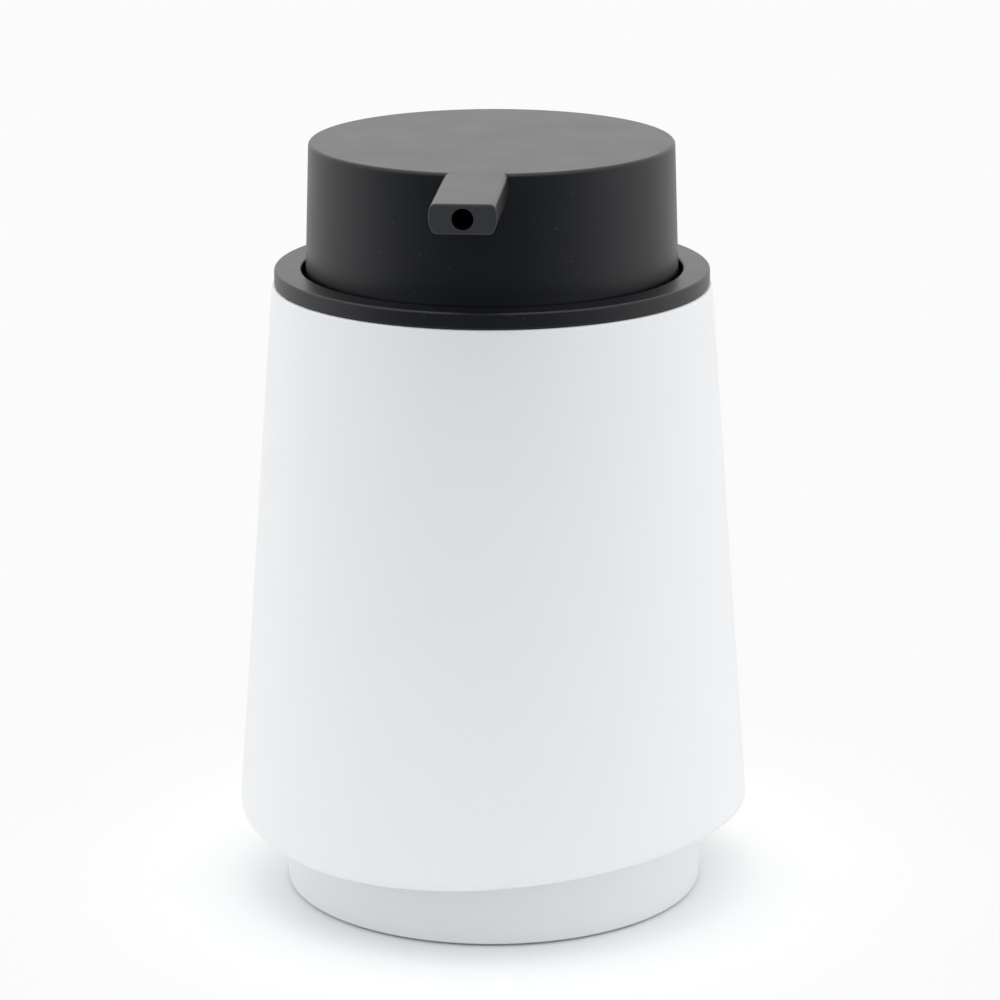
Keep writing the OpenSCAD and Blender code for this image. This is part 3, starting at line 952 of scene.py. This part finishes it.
    def build(self, dresser: Dresser) -> None:
        """Make the cap as one piece and put it on the frame.

        Args:
            dresser: Gives the piece its finish and place.
        """
        bm = bmesh.new()
        turn(bm, all_round(self.shell_outline()))
        loft(bm, list(self.spout_rings()))
        reach = self.top_r - self.wall / 2
        self.bar(bm, -math.pi / 2, self.duct_w, self.duct_z, reach)
        for k in range(self.rib_count):
            heading = 2 * math.pi * (k + 0.5) / self.rib_count - math.pi / 2
            self.bar(bm, heading, self.rib_t, self.inner_top - self.rib_h, reach)
        dresser.place(finished("cap_moulding", bm), Body.ACTUATOR, Slot.BLACK_ABS, "push_cap")


@dataclass(frozen=True)
class ReturnSpring:
    """The pump's coil spring: a round wire with closed ends. Sizes are in millimetres."""

    low_z: float = 59.65
    high_z: float = 78.55
    coil_r: float = 4.6
    wire_r: float = 0.4
    open_turns: int = 7
    closed_turns: float = 1.0
    closed_pitch: float = 0.84
    rings_per_turn: int = 40
    sides: int = 14
    pressed_mm: float = 10.0

    def height(self, turns: float) -> float:
        """Find the height of the wire's centre.

        Args:
            turns: Turns along the wire from its lower end.

        Returns:
            The height above the table.
        """
        low = self.low_z + self.wire_r
        high = self.high_z - self.wire_r
        last = self.open_turns + 2 * self.closed_turns
        closed = self.closed_turns * self.closed_pitch
        share = (turns - self.closed_turns) / self.open_turns
        if share < 0:
            return low + turns * self.closed_pitch
        if share > 1:
            return high - (last - turns) * self.closed_pitch
        return low + closed + (high - low - 2 * closed) * share

    def wire(self) -> bpy.types.Object:
        """Sweep the round wire along its helix.

        Returns:
            The wire, with the place along and round it in millimetres as its UV.
        """
        bm = bmesh.new()
        uv = bm.loops.layers.uv.new("wire")
        last = self.open_turns + 2 * self.closed_turns
        count = round(last * self.rings_per_turn)
        rings = []
        for i in range(count + 1):
            turns = last * i / count
            angle = 2 * math.pi * turns
            out = Vector((math.cos(angle), math.sin(angle), 0.0))
            centre = out * self.coil_r + Vector((0.0, 0.0, self.height(turns)))
            rings.append([centre + self.wire_r * (out * math.cos(b) + Vector((0.0, 0.0, math.sin(b))))
                          for b in (2 * math.pi * s / self.sides for s in range(self.sides))])
        ring_mm = 2 * math.pi * self.coil_r / self.rings_per_turn
        side_mm = 2 * math.pi * self.wire_r / self.sides
        for i, band in enumerate(loft(bm, rings)):
            for s, face in enumerate(band):
                places = ((i, s), (i + 1, s), (i + 1, s + 1), (i, s + 1))
                for corner, (u, v) in zip(face.loops, places):
                    corner[uv].uv = (u * ring_mm, v * side_mm)
        return finished("spring_wire", bm)

    def build(self, dresser: Dresser) -> None:
        """Make the spring and put it on the frame.

        Args:
            dresser: Gives the piece its finish and place.
        """
        wire = dresser.place(self.wire(), Body.PUMP_UNIT, Slot.SPRING_STEEL, "return_spring")
        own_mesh(wire)


@dataclass(frozen=True)
class Studio:
    """A pale table in a white light tent, and the camera. Sizes are in millimetres and angles in degrees.

    Attributes:
        camera: Where the camera stands.
        camera_heading: Turn of the view to the left of +Y.
        camera_pitch: Tilt of the view below level.
        camera_roll: Turn of the picture about the line of view.
        lens: Focal length.
        sensor: Width of the sensor.
        clip_start: Distance at which the view starts.
        table: Length of the table's sides.
        table_white: The table near the object, as it throws light back on matte surfaces.
        front_shade_floor: The table far in front, painted grey as shade, as it throws light back on matte
            surfaces.
        mirrored_white: The table near the object, as a gloss mirrors it.
        front_shade_grey: The table far in front, painted grey as shade, as a gloss mirrors it.
        front_far: Place along Y up to which the table has its far colours.
        front_near: Place along Y from which it has its near ones.
        lit_white: The table as the camera sees it where the object shades it.
        shown_white: The table and the backdrop as the camera sees them elsewhere.
        shade_mm: Reach of the object's shade on the table.
        shade_full: Share of open space up to which the table is shown as it is lit.
        shade_none: Share of open space from which it is shown as plain white.
        tent_white: Colour of the tent.
        tent_light: Strength of its walls.
        panel_light: Strength of its top.
        panel_inner: Angle from straight up within which the top has its full strength.
        panel_outer: Angle from straight up at which it has fallen to that of the walls.
        front_blue: Colour of the open front.
        front_light: Strength of the open front.
        front_inner: Angle from the front's middle within which it is at its dimmest and bluest.
        front_outer: Angle from the front's middle at which it is no longer dim.
        blue_outer: Angle from the front's middle at which it is no longer blue.
        front_tilt: Angle of the front's middle above level.
        front_turn: Turn of the front's middle from the camera, anticlockwise seen from above.
        back_light: Strength of the tent's back, as a gloss mirrors it.
        back_scatter: Strength of the tent's back, as it lights matte surfaces.
        back_inner: Angle from the back's middle within which it has its full strength.
        back_outer: Angle from the back's middle at which it has that of the walls.
    """

    camera: tuple[float, float, float] = (50.5, -614.5, 236.3)
    camera_heading: float = 4.587
    camera_pitch: float = 15.545
    camera_roll: float = -0.134
    lens: float = 140.18
    sensor: float = 36.0
    clip_start: float = 10.0
    table: float = 6000.0
    table_white: str = "#FCFCFC"
    # The table's grey far front is painted shade, standing for a front that the tent's light does not reach
    front_shade_floor: str = "#B4B6B8"
    mirrored_white: str = "#EEEEEF"
    front_shade_grey: str = "#484B4F"
    front_far: float = -320.0
    front_near: float = -110.0
    lit_white: str = "#FDFDFD"
    shown_white: str = "#FBFBFB"
    shade_mm: float = 60.0
    shade_full: float = 0.6
    shade_none: float = 0.95
    tent_white: str = "#FFFFFF"
    tent_light: float = 1.06
    panel_light: float = 1.5
    panel_inner: float = 25.0
    panel_outer: float = 55.0
    front_blue: str = "#EEF4FA"
    front_light: float = 0.3
    front_inner: float = 18.0
    front_outer: float = 65.0
    blue_outer: float = 85.0
    front_tilt: float = -10.0
    front_turn: float = -6.0
    back_light: float = 1.25
    back_scatter: float = 0.6
    back_inner: float = 15.0
    back_outer: float = 50.0

    def set_camera(self) -> None:
        """Place the camera at the photograph's viewing angle."""
        data = bpy.data.cameras.new("photo_camera")
        data.lens = self.lens
        data.sensor_width = self.sensor
        data.clip_start = self.clip_start * MM
        data.clip_end = 2 * self.table * MM
        camera = bpy.data.objects.new("photo_camera", data)
        heading = Matrix.Rotation(math.radians(self.camera_heading), 4, "Z")
        tilt = Matrix.Rotation(math.radians(90 - self.camera_pitch), 4, "X")
        roll = Matrix.Rotation(math.radians(self.camera_roll), 4, "Z")
        camera.matrix_world = Matrix.Translation(Vector(self.camera) * MM) @ heading @ tilt @ roll
        bpy.context.scene.collection.objects.link(camera)
        bpy.context.scene.camera = camera

    def lay_table(self) -> None:
        """Lay the table, which the camera sees as nearly white, with the object's shadow on it."""
        half = self.table * MM / 2
        corners = [(-half, -half, 0), (half, -half, 0), (half, half, 0), (-half, half, 0)]
        mesh = bpy.data.meshes.new("table")
        mesh.from_pydata(corners, [], [(0, 1, 2, 3)])
        table = bpy.data.objects.new("table", mesh)
        bpy.context.scene.collection.objects.link(table)
        mesh.materials.append(self.table_paint())

    def table_paint(self) -> bpy.types.Material:
        """Make the table's paint: plain white to the camera except where the object shades it.

        Returns:
            The paint, which is seen from above only.
        """
        paint = bpy.data.materials.new("table_paint")
        paint.use_nodes = True
        tree = paint.node_tree
        tree.nodes.clear()
        path = add_node(tree, "ShaderNodeLightPath").outputs
        ground = add_node(tree, "ShaderNodeNewGeometry").outputs
        place = add_node(tree, "ShaderNodeSeparateXYZ", {"Vector": ground["Position"]})
        # Under the open front the table is painted grey as shade, in the light that it throws back and as a
        # gloss mirrors it
        near_object = add_node(tree, "ShaderNodeMapRange",
                               {"Value": place.outputs["Y"], "From Min": self.front_far * MM,
                                "From Max": self.front_near * MM}, interpolation_type="SMOOTHSTEP")
        colours = []
        for shown, near, far in ((self.lit_white, self.table_white, self.front_shade_floor),
                                 (self.shown_white, self.mirrored_white, self.front_shade_grey)):
            unseen = add_node(tree, "ShaderNodeMix",
                              {MIX_SHARE: near_object.outputs["Result"], MIX_FIRST: linear(far),
                               MIX_SECOND: linear(near)}, data_type="RGBA")
            seen = add_node(tree, "ShaderNodeMix",
                            {MIX_SHARE: path["Is Camera Ray"], MIX_FIRST: unseen.outputs[MIX_RESULT],
                             MIX_SECOND: linear(shown)}, data_type="RGBA")
            colours.append(seen.outputs[MIX_RESULT])
        lit = add_node(tree, "ShaderNodeBsdfDiffuse", {"Color": colours[0]})
        plain = add_node(tree, "ShaderNodeEmission", {"Color": colours[1], "Strength": 1.0})
        # The camera and a gloss see the plain colour where the table is open, and the lit one near the object
        space = add_node(tree, "ShaderNodeAmbientOcclusion", {"Distance": self.shade_mm * MM})
        open_here = add_node(tree, "ShaderNodeMapRange",
                             {"Value": space.outputs["AO"], "From Min": self.shade_full,
                              "From Max": self.shade_none}, interpolation_type="SMOOTHSTEP")
        mirrored = add_node(tree, "ShaderNodeMath",
                            {0: path["Is Glossy Ray"], 1: path["Is Transmission Ray"]}, operation="MAXIMUM")
        looked_at = add_node(tree, "ShaderNodeMath",
                             {0: mirrored.outputs["Value"], 1: path["Is Camera Ray"]}, operation="MAXIMUM")
        share = add_node(tree, "ShaderNodeMath",
                         {0: looked_at.outputs["Value"], 1: open_here.outputs["Result"]},
                         operation="MULTIPLY")
        top = add_node(tree, "ShaderNodeMixShader",
                       {0: share.outputs["Value"], 1: lit.outputs["BSDF"], 2: plain.outputs["Emission"]})
        clear = add_node(tree, "ShaderNodeBsdfTransparent")
        both_sides = add_node(tree, "ShaderNodeMixShader",
                              {0: ground["Backfacing"], 1: top.outputs["Shader"], 2: clear.outputs["BSDF"]})
        add_node(tree, "ShaderNodeOutputMaterial", {"Surface": both_sides.outputs["Shader"]})
        return paint

    def raise_tent(self) -> None:
        """Light the scene with a white tent that is brighter overhead.

        Its front, towards the camera, is open and so dimmer and bluish. Its back is bright where a gloss
        mirrors it, but lights matte surfaces less than the walls do, so that pale ones keep their tone there.
        """
        world = bpy.data.worlds.new("light_tent")
        world.use_nodes = True
        tree = world.node_tree
        tree.nodes.clear()
        path = add_node(tree, "ShaderNodeLightPath").outputs
        way = add_node(tree, "ShaderNodeTexCoord").outputs["Generated"]
        level = Vector((self.camera[0], self.camera[1], 0.0)).normalized()
        ahead = Matrix.Rotation(math.radians(self.front_turn), 3, "Z") @ level
        front = (ahead + Vector((0.0, 0.0, math.tan(math.radians(self.front_tilt))))).normalized()
        facing = add_node(tree, "ShaderNodeVectorMath", {0: way, 1: front},
                          operation="DOT_PRODUCT").outputs["Value"]
        dim, blue = (
            add_node(tree, "ShaderNodeMapRange",
                     {"Value": facing, "From Min": cosine(outer), "From Max": cosine(self.front_inner)},
                     interpolation_type="SMOOTHSTEP").outputs["Result"]
            for outer in (self.front_outer, self.blue_outer))
        colour = add_node(tree, "ShaderNodeMix",
                          {MIX_SHARE: blue, MIX_FIRST: linear(self.tent_white),
                           MIX_SECOND: linear(self.front_blue)}, data_type="RGBA")
        height = add_node(tree, "ShaderNodeSeparateXYZ", {"Vector": way})
        walls = add_node(tree, "ShaderNodeMapRange",
                         {"Value": height.outputs["Z"], "From Min": cosine(self.panel_outer),
                          "From Max": cosine(self.panel_inner), "To Min": self.tent_light,
                          "To Max": self.panel_light}, interpolation_type="SMOOTHSTEP")
        back = add_node(tree, "ShaderNodeMapRange",
                        {"Value": path["Is Glossy Ray"], "To Min": self.back_scatter,
                         "To Max": self.back_light})
        closed = add_node(tree, "ShaderNodeMapRange",
                          {"Value": facing, "From Min": -cosine(self.back_inner),
                           "From Max": -cosine(self.back_outer), "To Min": back.outputs["Result"],
                           "To Max": walls.outputs["Result"]}, interpolation_type="SMOOTHSTEP")
        strength = add_node(tree, "ShaderNodeMapRange",
                            {"Value": dim, "To Min": closed.outputs["Result"], "To Max": self.front_light})
        tent = add_node(tree, "ShaderNodeBackground",
                        {"Color": colour.outputs[MIX_RESULT], "Strength": strength.outputs["Result"]})
        shown = add_node(tree, "ShaderNodeBackground", {"Color": linear(self.shown_white), "Strength": 1.0})
        light = add_node(tree, "ShaderNodeMixShader",
                         {0: path["Is Camera Ray"], 1: tent.outputs["Background"],
                          2: shown.outputs["Background"]})
        add_node(tree, "ShaderNodeOutputWorld", {"Surface": light.outputs["Shader"]})
        bpy.context.scene.world = world

    def build(self) -> None:
        """Set up the camera, the table and the light."""
        bpy.context.scene.view_settings.view_transform = "Standard"
        self.set_camera()
        self.lay_table()
        self.raise_tent()


def main() -> None:
    """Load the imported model, dress it and set up the studio."""
    logging.basicConfig(level=logging.INFO, format="%(name)s: %(message)s")
    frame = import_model()
    Studio().build()
    dresser = Dresser(frame)
    Reservoir().build(dresser)
    Collar().build(dresser)
    PushCap().build(dresser)
    ReturnSpring().build(dresser)


if __name__ == "__main__":
    main()
